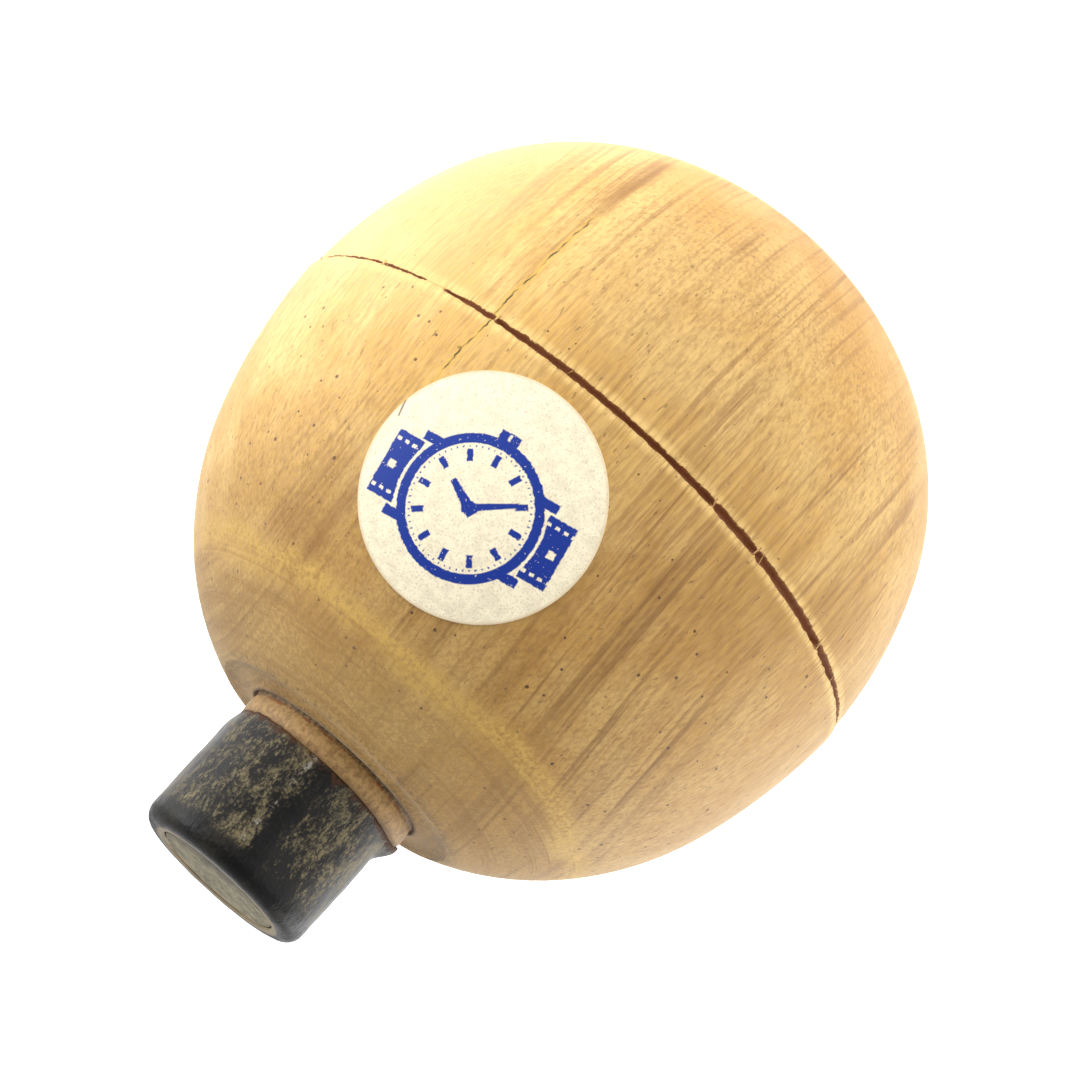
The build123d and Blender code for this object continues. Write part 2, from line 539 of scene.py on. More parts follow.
# %% Tear the groove's lips and warp the ball a little
scored = ball.verts.layers.float.new("scored")
for vert in ball.verts:
    x, y, z = vert.co
    radius = math.hypot(x, y)
    if radius < 0.01:
        continue
    angle = math.degrees(math.atan2(y, x))
    off = z - GROOVE_Z
    if abs(off) < TORN_REACH and radius > ball_r - 1.5:
        side = 1 if off > 0 else -1
        half, depth, middle = groove_at(angle)
        torn = 0.09 * wander(angle, 1.3, 20.0 + side) + 0.08 * wander(angle, 2.7, 30.0 + side)
        lip = max(0.05, half + torn)
        lip_r = ball_r if side > 0 else ball_r - LIP_STEP
        if abs(off) <= GROOVE_HALF + 0.001:
            share = abs(off) / GROOVE_HALF
            radius = lip_r - depth * (1 - share ** 1.6)
            z = GROOVE_Z + middle + side * lip * share
            vert[scored] = (1 - 0.5 * share ** 6) * ease(depth, 0.05, 0.3)
        else:
            share = (abs(off) - GROOVE_HALF) / (TORN_REACH - GROOVE_HALF)
            z = GROOVE_Z + middle * (1 - share) + side * (lip + share * (TORN_REACH - lip))
            radius -= 0.06 * (1 - ease(share, 0, 0.12)) * (1 + wander(angle, 0.9, 41.0 + side))
    elif abs(radius - score_r) < SCORE_HALF * 0.75 and abs(z - SCORE_Z) < 0.4:
        vert[scored] = 0.44 + 0.36 * ease(wander(angle, 0.3, 12.4), -0.3, 0.3)
    if y < 0 and CRACK_LOW < z < CRACK_HIGH and radius > 20:
        opened = ease(noise.noise(Vector((0, 3.3, z * 0.42))), -0.05, 0.25)
        opened *= ease(z, CRACK_LOW, CRACK_LOW + 3) * (1 - ease(z, CRACK_HIGH - 3.5, CRACK_HIGH))
        line = CRACK_X + 0.28 * noise.noise(Vector((z * 0.35, 7.7, 0)))
        radius -= 0.07 * opened * (1 - ease(abs(x - line), 0.0, 0.3))
    swell = 0.05 * noise.noise(Vector((x, y, z)) * 0.09) - 0.02
    radius = min(ball_r, radius + swell * ease(z, 0.2, 3) * (1 - ease(z, 55, 57)))
    turned = math.radians(angle)
    vert.co = (radius * math.cos(turned), radius * math.sin(turned), z)
    if radius < bore_r + 0.01:
        vert.co = seat(vert.co, collar_top_z - 0.1, collar_top_z)
print("groove half width and depth at -100 degrees:", [round(v, 2) for v in groove_at(-100)[:2]])

# %% [markdown]
# ## Finish of the wood
# The wood is a pale, dry hardwood with its grain along the turning axis. Growth rings are cylinders round
# a pith that lay outside the ball, so a noise that reads the distance from that pith gives the dark
# streaks, and the same streaks run on round the back. On top come short fibres and pores stretched along
# Z, soft blotches, a yellow ring and dirt round the neck, a crack with dried glue in it and the paler
# edges of the groove, which are fresh wood with a painted highlight where the lips round over. Light and
# shade are painted into the colour too: a paler side where the light falls, painted shade on the far side
# and toward the neck, and painted shade in the cove. All of it reads the place on the piece, so it stays
# the same from every side.

# %% Grain of the wood
wood_finish, wood, at = start_finish("turned_wood")
PITH = Vector((85.6, -27.8))
east, north, height = wood.split(at)
from_pith_x = east - PITH.x
from_pith_y = north - PITH.y
waver = wood.noise(wood.stretch(at, 0.1, 0.1, 0.03), 2.0)
ring = (from_pith_x * from_pith_x + from_pith_y * from_pith_y) ** 0.5 + (waver - 0.5) * 0.8
ring_tone = wood.noise(wood.join(ring * 0.8, height * 0.012, 0.0), 3.0, 0.7)
fine_ring = wood.noise(wood.join(ring * 1.7, height * 0.035, 5.0), 2.0, 0.6)
thread = wood.noise(wood.join(ring * 5.0, height * 0.11, north * 0.12), 2.0, 0.6)
toward_pith = abs(east * (PITH.x / PITH.length) + north * (PITH.y / PITH.length))
across_rings = wood.step(toward_pith, 25.5, 17.0)
patches = wood.noise(wood.stretch(at, 0.085, 0.085, 0.045, 4.0), 1.5)
streak_patch = across_rings * wood.step(patches, 0.38, 0.6)
streak = wood.step(ring_tone, 0.46, 0.68) * (0.25 * across_rings + 0.75 * streak_patch)
thin_streak = wood.step(fine_ring, 0.5, 0.68) * (0.2 * across_rings + 0.8 * streak_patch)
thread_line = wood.step(thread, 0.52, 0.66) * across_rings
fibre = wood.noise(wood.stretch(at, 3.0, 3.0, 0.1), 3.0, 0.65)
short_fibre = wood.noise(wood.stretch(at, 4.6, 4.6, 0.3, 9.0), 2.0, 0.6)
pore = wood.step(wood.noise(wood.stretch(at, 3.6, 3.6, 1.1, 17.0), 1.0), 0.7, 0.77)
blotch = wood.noise(wood.stretch(at, 0.11, 0.11, 0.08, 30.0), 3.0, 0.6)
grit = wood.noise(wood.stretch(at, 2.6, 2.6, 1.7, 50.0), 2.0, 0.7)

# %% Colour of the wood
PALE = paint(242, 204, 128)
HONEY = paint(222, 176, 92)
PINK_GREY = paint(206, 164, 108)
STREAK_BROWN = paint(146, 101, 46)
PORE_BROWN = paint(96, 64, 34)
SPECK_R = 0.14
wood_colour = wood.mix(wood.step(blotch, 0.36, 0.62), PALE, HONEY)
wood_colour = wood.mix(wood.step(grit, 0.42, 0.66) * 0.42, wood_colour, PINK_GREY)
side_grain = 0.4 + 0.6 * wood.step(height, 4.0, 14.0)
wood_colour = wood.mix(wood.step(fibre, 0.44, 0.7) * 0.34 * side_grain, wood_colour, STREAK_BROWN)
wood_colour = wood.mix(wood.step(short_fibre, 0.48, 0.7) * 0.2 * side_grain, wood_colour, STREAK_BROWN)
wood_colour = wood.mix(wood.step(short_fibre, 0.47, 0.32) * 0.28, wood_colour, PALE)
wood_colour = wood.mix(thread_line * 0.12, wood_colour, STREAK_BROWN)
wood_colour = wood.mix(streak * 0.52, wood_colour, STREAK_BROWN)
wood_colour = wood.mix(thin_streak * 0.6, wood_colour, STREAK_BROWN)
wood_colour = wood.mix(pore * 0.45, wood_colour, PORE_BROWN)
speck_settings = {"voronoi_dimensions": "3D", "feature": "F1"}
speck_sockets = {"Vector": at, "Scale": 0.9, "Randomness": 1.0}
speck_reach = wood.node("ShaderNodeTexVoronoi", speck_settings, speck_sockets, out="Distance")
speck_sort = wood.node("ShaderNodeTexVoronoi", speck_settings, speck_sockets, out="Color")
speck_rank = wood.step(wood.split(speck_sort)[0], 0.2, 1.0)
speck_size = SPECK_R * speck_rank * (0.45 + 0.55 * wood.step(height, 24.0, 32.0))
speck = wood.step(speck_reach - speck_size, 0.012, -0.012)
wood_colour = wood.mix(speck * 0.85, wood_colour, PORE_BROWN)

# %% Painted light and shade: paler where the light falls, darker on the far side and toward the neck
PAINTED_LIGHT_PALE = paint(250, 228, 170)
# Painted light: the wood is paler toward +X and toward the pole, the sides the light falls on.
painted_light_side = wood.step(east + (blotch - 0.5) * 8.0, 8.0, 20.0) * wood.step(height, 38.0, 24.0)
wood_colour = wood.mix(painted_light_side * 0.3, wood_colour, PAINTED_LIGHT_PALE)
# Painted shade: the wood is multiplied darker toward -X and toward the neck, the sides that get less
# light. The darkening toward -X fades out again near the far edge.
PAINTED_SHADE_TINT = (0.62, 0.56, 0.48, 1.0)
shade_slope = 0.5 * (north * 0.2 - east * 0.98) + 0.75 * (height - GROOVE_Z)
painted_shade = wood.step(shade_slope + (blotch - 0.5) * 12.0 + (waver - 0.5) * 6.0, -7.0, 13.0)
painted_side_shade = wood.step(east + (blotch - 0.5) * 14.0, 11.0, -2.0) * wood.step(east, -28.5, -24.0)
wood_colour = wood.mix((painted_side_shade * 0.55) | (painted_shade * 0.9), wood_colour, PAINTED_SHADE_TINT, "MULTIPLY")

# %% Neck: turning lines, painted shade in the cove and a paler collar
NECK_OLIVE = paint(170, 136, 78)
NECK_YELLOW = paint(212, 172, 86)
COLLAR_TAN = paint(176, 140, 86)
SCORE_DARK = paint(74, 54, 30)
SHADE_AND_GRAIN_BROWN = paint(120, 92, 52)
YELLOW_RING_Z = 51.3
across = (east * east + north * north) ** 0.5
turning = wood.noise(wood.join(east * 0.05, north * 0.05, height * 1.7), 3.0, 0.65)
near_neck = wood.step(height + (blotch - 0.5) * 5.0, 50.5, 54.0)
turning_line = wood.step(turning, 0.48, 0.68) * wood.step(height + (blotch - 0.5) * 4.0, 50.0, 52.5)
yellow_ring = wood.step(abs(height - YELLOW_RING_Z + (blotch - 0.5) * 4.0), 1.5, 0.2)
in_cove = wood.step(height, 56.6, 57.05) * wood.step(across, score_r - 0.2, score_r)
on_collar = wood.step(height, 57.15, 57.4) * wood.step(across, score_r + 0.1, score_r + 0.02)
ring_amount = yellow_ring * (0.25 + 0.6 * wood.step(grit, 0.42, 0.6))
wood_colour = wood.mix(ring_amount, wood_colour, NECK_YELLOW)
neck_amount = near_neck * (0.15 + 0.4 * wood.step(grit, 0.44, 0.6))
wood_colour = wood.mix(neck_amount, wood_colour, NECK_OLIVE)
wood_colour = wood.mix(turning_line * 0.36, wood_colour, STREAK_BROWN)
# Painted shade: the hollow of the cove is darkened, mottled by grit. The same brown also marks the
# collar's grain threads below.
cove_amount = in_cove * (0.05 + 0.6 * wood.step(grit + (blotch - 0.5) * 0.6, 0.46, 0.62))
wood_colour = wood.mix(cove_amount, wood_colour, SHADE_AND_GRAIN_BROWN)
collar_grain = wood.noise(wood.stretch(at, 2.4, 2.4, 1.9, 70.0), 3.0, 0.75)
collar_thread = wood.step(collar_grain, 0.4, 0.64)
wood_colour = wood.mix(on_collar * (1 - 0.25 * collar_thread), wood_colour, COLLAR_TAN)
wood_colour = wood.mix(on_collar * collar_thread * 0.7, wood_colour, SHADE_AND_GRAIN_BROWN)
grime = wood.step(height + (grit - 0.5) * 1.2, 58.6, 59.4)
wood_colour = wood.mix(grime * 0.6, wood_colour, PORE_BROWN)

# %% Groove, its fresh edges, and the crack
LIP_YELLOW = paint(250, 214, 138)
GROOVE_BROWN = paint(140, 84, 44)
CRACK_DARK = paint(66, 58, 36)
GLUE_YELLOW = paint(232, 188, 84)
cut = wood.node("ShaderNodeAttribute", {"attribute_name": "scored"}, {}, out="Fac")
from_groove = abs(height - GROOVE_Z)
# Paler band along both lips of the groove: fresh torn wood, and a painted highlight where the lips round
# over.
lip_fresh_and_highlight = wood.step(from_groove, 1.25, 0.45) * (0.35 + 0.65 * wood.step(fibre, 0.6, 0.4))
wood_colour = wood.mix(lip_fresh_and_highlight * 0.6, wood_colour, LIP_YELLOW)
crack_waver = wood.noise(wood.join(0.0, 7.7, height * 0.35), 2.0, 0.6)
crack_fine = wood.noise(wood.join(0.0, 2.0, height * 2.3), 1.0)
crack_off = abs(east - CRACK_X - (crack_waver - 0.5) * 1.1 - (crack_fine - 0.5) * 0.25)
crack_side = wood.step(north, -8.0, -12.0)
crack_ends = wood.step(height, 15.0, 18.0) * wood.step(height, 37.0, 34.5)
crack_open = wood.step(wood.noise(wood.join(0.0, 13.0, height * 0.5), 1.0), 0.44, 0.56)
crack = wood.step(crack_off, 0.11, 0.03) * crack_side * crack_ends
glue = wood.step(crack_off, 0.42, 0.1) * crack_side * crack_ends
smear_ends = wood.step(height, 5.5, 7.5) * wood.step(height, 17.5, 12.0)
smear = wood.step(crack_off, 1.1, 0.1) * crack_side * smear_ends
wood_colour = wood.mix(glue * 0.5, wood_colour, GLUE_YELLOW)
wood_colour = wood.mix(crack * (0.12 + 0.75 * crack_open), wood_colour, CRACK_DARK)
wood_colour = wood.mix(smear * 0.55, wood_colour, STREAK_BROWN)
neck_smear_ends = wood.step(height, 43.0, 46.0) * wood.step(height, 53.0, 48.0)
neck_smear = wood.step(crack_off, 0.9, 0.1) * crack_side * neck_smear_ends
wood_colour = wood.mix(neck_smear * 0.45, wood_colour, STREAK_BROWN)
ragged_cut = wood.step(cut + (short_fibre - 0.5) * 0.9 + (grit - 0.5) * 0.5, 0.34, 0.62)
wood_colour = wood.mix(ragged_cut, wood_colour, GROOVE_BROWN)
on_score = wood.step(abs(across - score_r), 0.42, 0.16) * wood.step(height, SCORE_Z - 0.35, SCORE_Z - 0.2)
on_score = on_score * wood.step(height, SCORE_Z + 0.32, SCORE_Z + 0.12)
wood_colour = wood.mix(on_score * (0.45 + 0.5 * collar_thread), wood_colour, SCORE_DARK)

# %% Gloss and relief of the wood
WOOD_BUMP = 0.06
wood_rough = 0.5 + 0.22 * fibre + 0.15 * ragged_cut
wood_relief = fibre * 0.6 + short_fibre * 0.35 - pore * 0.6 - speck * 0.8
wood_relief = wood_relief - crack * crack_open * 2.0 - turning_line * 0.5
finish_surface(
    wood,
    wood_relief,
    WOOD_BUMP,
    {
        "Base Color": wood_colour,
        "Roughness": wood_rough,
        "Specular IOR Level": 0.45,
        "Sheen Weight": 0.25,
        "Sheen Roughness": 0.4,
        "Sheen Tint": (1.0, 0.93, 0.78, 1.0),
    },
)
put_in_scene(ball, "turned_ball", "wooden_ball", wood_finish)

# %% [markdown]
# ## Splinters in the groove
# Where the scoring tool tore the wood, thin fibres cross the groove or stand up in it. Each is a small
# five-sided cone, laid along the grain a little under the surface, and all of them are one piece.

# %% Splinters
SPLINTERS_BETWEEN = 10


def splinter(bm, angle, thick, sunk, length, lean):
    """One tapered fibre across the groove at this angle."""
    turned = math.radians(angle)
    at = Matrix.Rotation(turned, 4, "Z") @ Matrix.Translation((ball_r - sunk, 0, GROOVE_Z))
    lay = at @ Matrix.Rotation(lean, 4, "X") @ Matrix.Rotation(lean * 0.3, 4, "Y")
    bmesh.ops.create_cone(
        bm, cap_ends=True, segments=5, radius1=thick, radius2=thick * 0.35, depth=length, matrix=lay
    )


splinters = bmesh.new()
splinter_scored = splinters.verts.layers.float.new("scored")
for number, bridge in enumerate(BRIDGES):
    splinter(splinters, bridge, 0.11, 0.24, 2 * groove_at(bridge + 2)[0] + 0.5, 0.2 * (-1) ** number)
for number in range(SPLINTERS_BETWEEN):
    place = number + 0.5 + 0.4 * noise.noise(Vector((number * 1.7, 0.3, 0)))
    angle = -180 + 360 * place / SPLINTERS_BETWEEN
    swing = noise.noise(Vector((number * 2.3, 9.1, 0)))
    splinter(splinters, angle, 0.05, 0.38 + 0.15 * swing, 2 * groove_at(angle)[0] + 0.25, swing)
for vert in splinters.verts:
    vert[splinter_scored] = 0.42
bmesh.ops.recalc_face_normals(splinters, faces=splinters.faces)
put_in_scene(splinters, "groove_splinters", None, wood_finish)

# %% [markdown]
# ## The ferrule
# A short drawn steel cup with its end rolled in. It was driven on over the neck, so its open edge is
# ragged and rusty, one side of it stands out as a burr, and the opposite corner is knocked in. Its
# outline is a closed loop, so the spin gives a wall with an inside.

# %% Outline of the ferrule
CORNER_R = 1.3
LIP_WIDE = 2.3
MOUTH_ROUND = 0.25
WALL = ferrule_r - bore_r
BORE_ROUND = 0.5
opening_r = ferrule_r - LIP_WIDE
wall_top_z = end_z - CORNER_R
ferrule, first = start_outline(ferrule_r, collar_top_z)
tip = line_to(ferrule, first, ferrule_r, collar_top_z + 0.6, 5)
tip = line_to(ferrule, tip, ferrule_r, collar_top_z + 3.0, 8)
tip = line_to(ferrule, tip, ferrule_r, wall_top_z, 14)
tip = arc_to(ferrule, tip, ferrule_r - CORNER_R, end_z, (0, 0, 1), 8)[0]
tip = line_to(ferrule, tip, opening_r + MOUTH_ROUND, end_z, 2)
tip = arc_to(ferrule, tip, opening_r, end_z - MOUTH_ROUND, (-1, 0, 0), 4)[0]
tip = line_to(ferrule, tip, opening_r, end_z - WALL)
tip = line_to(ferrule, tip, bore_r - BORE_ROUND, end_z - WALL)
tip = arc_to(ferrule, tip, bore_r, end_z - WALL - BORE_ROUND, (1, 0, 0), 3)[0]
tip = line_to(ferrule, tip, bore_r, collar_top_z, 4)
ferrule.edges.new((tip, first))
print("ferrule outline:", len(ferrule.verts), "vertices")
turn(ferrule, 320)

# %% Knock the ferrule about
BURR_AT = 168.6
BURR_OUT = 1.05
KNOCKED_AT = -14.0
KNOCK_DEPTH = 0.35
for vert in ferrule.verts:
    x, y, z = vert.co
    radius = math.hypot(x, y)
    angle = math.degrees(math.atan2(y, x))
    down = z - collar_top_z
    outside = ease(radius, bore_r + 0.1, ferrule_r - 0.05)
    from_burr = turn_between(angle, BURR_AT)
    burr = BURR_OUT * math.exp(-(from_burr / 13) ** 2) * (1 - ease(down, 0.2, 2.0)) ** 1.3
    from_knock = turn_between(angle, KNOCKED_AT)
    knock = KNOCK_DEPTH * math.exp(-(from_knock / 22) ** 2) * math.exp(-(down / 0.8) ** 2)
    rag = 0.2 * wander(angle, 0.12, 60.0) + 0.16 * wander(angle, 0.35, 61.0)
    dent = 0.07 * noise.noise(Vector((x, y, z)) * 0.35) + 0.03 * noise.noise(Vector((x, y, z)) * 1.1)
    radius += burr - knock + (dent - 0.03) * outside * ease(down, 0.0, 0.6)
    z = min(end_z, z + (rag - 0.05) * (1 - ease(down, 0.0, 1.2)))
    z -= 0.05 * abs(wander(angle, 0.08, 66.0)) * ease(down, 10.0, 11.2)
    turned = math.radians(angle)
    vert.co = Vector((radius * math.cos(turned), radius * math.sin(turned), z)) + SEAT_SHIFT
print("burr stands out", BURR_OUT, "mm at", BURR_AT, "degrees")

# %% [markdown]
# ## Finish of the ferrule
# Black oxide that handling has worn through: olive and yellow-grey patches on near-black steel, drawn out
# along the axis because the cup was drawn that way. Rust creeps in from the ragged edge. Light is painted
# into the colour too: a painted dark reflection in a stripe down the front, painted shade and dark
# reflection in a band at the rolled end, a painted warm highlight on the near crest of the roll, stronger
# where it is worn, and a broken painted glint down the front.

# %% Patches of the steel
steel_finish, steel, at = start_finish("dark_steel")
east, north, height = steel.split(at)
east = east - SEAT_SHIFT.x
north = north - SEAT_SHIFT.y
across = (east * east + north * north) ** 0.5
cloud = steel.noise(steel.stretch(at, 0.42, 0.42, 0.2), 3.0, 0.6)
patch = steel.noise(steel.stretch(at, 1.7, 1.7, 1.1, 3.0), 4.0, 0.75)
speck = steel.noise(steel.stretch(at, 4.5, 4.5, 3.0, 8.0), 2.0, 0.7)
scratch = steel.noise(steel.stretch(at, 6.0, 6.0, 0.35, 14.0), 1.0)
# Painted reflection: a near-black stripe down the side facing the camera, carrying on the dark coat's
# reflection.
REFLECTION_STRIPE_AT = math.radians(-107.0)
off_reflection_stripe = abs(east * -math.sin(REFLECTION_STRIPE_AT) + north * math.cos(REFLECTION_STRIPE_AT) + (patch - 0.5) * 1.6)
painted_reflection_stripe = steel.step(off_reflection_stripe, 1.05, 0.45) * steel.step(north, -5.0, -6.0)
worn = steel.step(patch + (cloud - 0.5) * 0.9 + (speck - 0.5) * 0.5 - painted_reflection_stripe * 0.2, 0.42, 0.8)
bare = steel.step(speck + (patch - 0.5) * 0.9 + (cloud - 0.5) * 0.9, 0.5, 0.85)
# Painted shade and dark reflection: a near-black band round the rolled corner at the end.
painted_end_shade = steel.step(height + (patch - 0.5) * 2.4, end_z - 2.5, end_z - 1.6)
painted_end_shade = painted_end_shade * steel.step(across + north * 0.06, 5.5, 5.9)
painted_crest_highlight = steel.step(height, end_z - 0.3, end_z - 0.1) * steel.step(across, 6.45, 6.2)
rim = steel.step(across, 6.4, 6.0) * steel.step(height, end_z - 1.2, end_z - 0.6)
# Painted highlight: a broken pale glint streak down the side facing the camera.
GLINT_AT = math.radians(-96.0)
off_glint = abs(east * -math.sin(GLINT_AT) + north * math.cos(GLINT_AT) + (patch - 0.5) * 0.8)
steel_glint_and_paper_scuff = steel.step(off_glint, 0.36, 0.05) * steel.step(north, -6.0, -7.0)
steel_glint_and_paper_scuff = steel_glint_and_paper_scuff * steel.step(cloud + (speck - 0.5) * 0.8, 0.5, 0.66)
glint_gaps = steel.step(steel.noise(steel.join(0.0, 4.4, height * 1.3), 2.0, 0.7), 0.5, 0.62)
steel_glint_and_paper_scuff = steel_glint_and_paper_scuff * glint_gaps * steel.step(height, end_z - 1.6, end_z - 2.4)
rust = steel.step(height + (patch - 0.5) * 3.4, collar_top_z + 0.6, collar_top_z - 0.1)

# %% Colour, metal, gloss and relief of the steel
BLACK_OXIDE = paint(26, 25, 24)
OLIVE_GREY = paint(92, 84, 64)
YELLOW_GREY = paint(142, 129, 94)
SHADE_AND_REFLECTION_BLACK = paint(20, 20, 20)
CREST_HIGHLIGHT_TAN = paint(176, 146, 104)
RUST_BROWN = paint(78, 48, 28)
FACE_GREEN = paint(150, 142, 116)
GLINT_GREY = paint(186, 182, 176)
steel_colour = steel.mix(worn, BLACK_OXIDE, OLIVE_GREY)
steel_colour = steel.mix(bare * 0.5, steel_colour, YELLOW_GREY)
steel_colour = steel.mix(painted_reflection_stripe * 0.75, steel_colour, SHADE_AND_REFLECTION_BLACK)
steel_colour = steel.mix(painted_end_shade * 0.92, steel_colour, SHADE_AND_REFLECTION_BLACK)
steel_colour = steel.mix(rim * 0.6, steel_colour, FACE_GREEN)
# Painted highlight: a warm tan line on the crest of the roll, only on the side facing the camera,
# stronger where it is worn.
painted_crest_highlight = painted_crest_highlight * steel.step(north, -7.0, -4.0)
steel_colour = steel.mix(painted_crest_highlight * (0.3 + 0.5 * worn), steel_colour, CREST_HIGHLIGHT_TAN)
steel_colour = steel.mix(rust * 0.9, steel_colour, RUST_BROWN)
steel_colour = steel.mix(steel_glint_and_paper_scuff * 0.5, steel_colour, GLINT_GREY)
STEEL_BUMP = 0.07
steel_metal = 0.2 - 0.1 * worn - 0.1 * rust
steel_rough = 0.26 + 0.2 * worn + 0.14 * speck + 0.3 * rust
steel_relief = patch * 0.7 + speck * 0.5 + scratch * 0.2 + rust * 0.4
finish_surface(
    steel,
    steel_relief,
    STEEL_BUMP,
    {
        "Base Color": steel_colour,
        "Metallic": steel_metal,
        "Roughness": steel_rough,
        "Specular IOR Level": 0.2,
    },
)
put_in_scene(ferrule, "worn_ferrule", "ferrule", steel_finish)

# %% [markdown]
# ## The rubber plug
# The rubber that grips the case back is a plug with a wide foot, trapped behind the rolled lip. Its face
# is level with the rim, dished by use and polished grey. It is drawn as a closed section and spun.

# %% Outline of the plug
FACE_DISH = 0.25
FACE_ROUND = 0.3
FACE_SUNK = 0.1
face_z = end_z - FACE_SUNK
nose_r = opening_r - 0.03
foot_r = bore_r - 0.02
foot_z = end_z - WALL - 0.03
plug, tip = start_outline(0, plug_low.z + 0.02)
tip = line_to(plug, tip, foot_r, plug_low.z + 0.02, 2)
tip = line_to(plug, tip, foot_r, foot_z - BORE_ROUND, 2)
tip = arc_to(plug, tip, foot_r - BORE_ROUND, foot_z, (0, 0, 1), 3)[0]
tip = line_to(plug, tip, nose_r, foot_z)
tip = line_to(plug, tip, nose_r, face_z - FACE_ROUND)
tip = arc_to(plug, tip, nose_r - FACE_ROUND, face_z, (0, 0, 1), 4)[0]
bulge_to(plug, tip, 0, end_z - FACE_DISH, -0.04, 10)
turn(plug, 160)
for vert in plug.verts:
    if vert.co.z > foot_z + 0.05:
        vert.co.z += 0.05 * noise.noise(vert.co * 0.8) + 0.02 * noise.noise(vert.co * 2.6) - 0.03
    vert.co += SEAT_SHIFT
print("plug face", round(2 * nose_r, 2), "mm across")

# %% Finish of the rubber
rubber_finish, rubber, at = start_finish("plug_rubber")
bloom = rubber.noise(rubber.stretch(at, 1.1, 1.1, 1.1), 4.0, 0.7)
grain = rubber.noise(rubber.stretch(at, 7.0, 7.0, 7.0, 5.0), 2.0, 0.7)
nick = rubber.step(rubber.noise(rubber.stretch(at, 1.6, 5.0, 3.0, 11.0), 1.0), 0.66, 0.74)
RUBBER_GREEN = paint(98, 94, 80)
RUBBER_BLOOM = paint(160, 150, 122)
RUBBER_DUST = paint(160, 152, 128)
RUBBER_SHADE = paint(40, 37, 32)
RUBBER_NICK = paint(34, 32, 30)
RUBBER_BUMP = 0.08
bloomed = rubber.step(bloom + (grain - 0.5) * 0.5, 0.3, 0.66)
rubber_colour = rubber.mix(bloomed, RUBBER_GREEN, RUBBER_BLOOM)
rubber_colour = rubber.mix(rubber.step(grain, 0.55, 0.7) * 0.5, rubber_colour, RUBBER_DUST)
# Painted shade: the plug is darker toward -Y, on the camera's side, where the near lip shades it.
painted_near_shade = rubber.step(rubber.split(at)[1], -0.5, -5.0)
rubber_colour = rubber.mix(painted_near_shade * 0.6, rubber_colour, RUBBER_SHADE)
rubber_colour = rubber.mix(nick * 0.7, rubber_colour, RUBBER_NICK)
finish_surface(
    rubber,
    bloom * 0.5 + grain * 0.4 - nick,
    RUBBER_BUMP,
    {"Base Color": rubber_colour, "Roughness": 0.55 + 0.3 * bloom, "Specular IOR Level": 0.4},
)
put_in_scene(plug, "rubber_plug", "friction_plug", rubber_finish)

# %% [markdown]
# ## The paper sticker
# A round of thin paper, pressed down on a curved ball. It is a flat disc of concentric rings first, with
# its thickness, and its flat place is kept as a UV map for the print. Then each vertex drops along the
# sticker's own axis until it stands its height above the ball's arcs, so the round keeps its width
# straight across. The edge lifts a little in places.

# %% Flat sticker
STICKER_R = 9.525
PAPER_T = 0.12
STICKER_GAP = 1.6
STICKER_RINGS = 18
sticker = bmesh.new()
bmesh.ops.create_circle(sticker, cap_ends=True, segments=168, radius=STICKER_R)
disc = next(iter(sticker.faces))
ring_steps = [0.08] + [STICKER_R / (STICKER_RINGS + 0.4)] * (STICKER_RINGS - 1)
for step_in in ring_steps:
    bmesh.ops.inset_region(
        sticker, faces=[disc], thickness=step_in, use_boundary=True, use_even_offset=True
    )
bmesh.ops.poke(sticker, faces=[disc])
raised = bmesh.ops.extrude_face_region(sticker, geom=sticker.faces[:])
top_verts = [item for item in raised["geom"] if isinstance(item, bmesh.types.BMVert)]
bmesh.ops.translate(sticker, vec=(0, 0, PAPER_T), verts=top_verts)
bmesh.ops.recalc_face_normals(sticker, faces=sticker.faces)
print_map = sticker.loops.layers.uv.new("print")
for face in sticker.faces:
    for loop in face.loops:
        flat = loop.vert.co
        loop[print_map].uv = (flat.x / (2 * STICKER_R) + 0.5, flat.y / (2 * STICKER_R) + 0.5)
print("flat sticker:", len(sticker.faces), "faces")

# %% Press the sticker down on the ball
side_arcs = (belly_arc, shoulder_arc, neck_arc)
arc_ends = (belly_end, neck_end, (crease_r, CREASE_Z))


def above_ball(point):
    """Height of a point above the neck half of the ball, and the outward direction there."""
    radius = math.hypot(point.x, point.y)
    for (centre, arc_r), (end_x, end_level) in zip(side_arcs, arc_ends):
        out = Vector((radius - centre.x, point.z - centre.z))
        if out.angle_signed(Vector((end_x - centre.x, end_level - centre.z))) <= 0:
            break
    away = Vector((point.x * out.x / radius, point.y * out.x / radius, out.y)).normalized()
    return out.length - arc_r, away


belly_centre, belly_r = belly_arc
lip_out = Vector((ball_r - belly_centre.x, GROOVE_Z + GROOVE_HALF - belly_centre.z))
climb = math.atan2(lip_out.y, lip_out.x) + (STICKER_GAP + STICKER_R) / belly_r
middle_r = belly_centre.x + belly_r * math.cos(climb)
middle = Vector((0, -middle_r, belly_centre.z + belly_r * math.sin(climb)))
out_of_ball = Vector((0, -math.cos(climb), math.sin(climb)))
print_right = Vector((-1, 0, 0))
print_up = out_of_ball.cross(print_right)
for vert in sticker.verts:
    flat_x, flat_y, stand = vert.co
    from_middle = math.hypot(flat_x, flat_y)
    angle = math.degrees(math.atan2(flat_y, flat_x))
    lift = max(0.0, 0.12 * wander(angle, 0.09, 80.0)) * ease(from_middle, 7.6, STICKER_R)
    ripple = 0.012 * noise.noise(Vector((flat_x, flat_y, 0)) * 0.55)
    wish = stand + (lift + ripple if stand > 0 else -0.03)
    point = middle + print_right * flat_x + print_up * flat_y
    for _ in range(6):
        stands, away = above_ball(point)
        point -= out_of_ball * (stands - wish) / away.dot(out_of_ball)
    vert.co = point
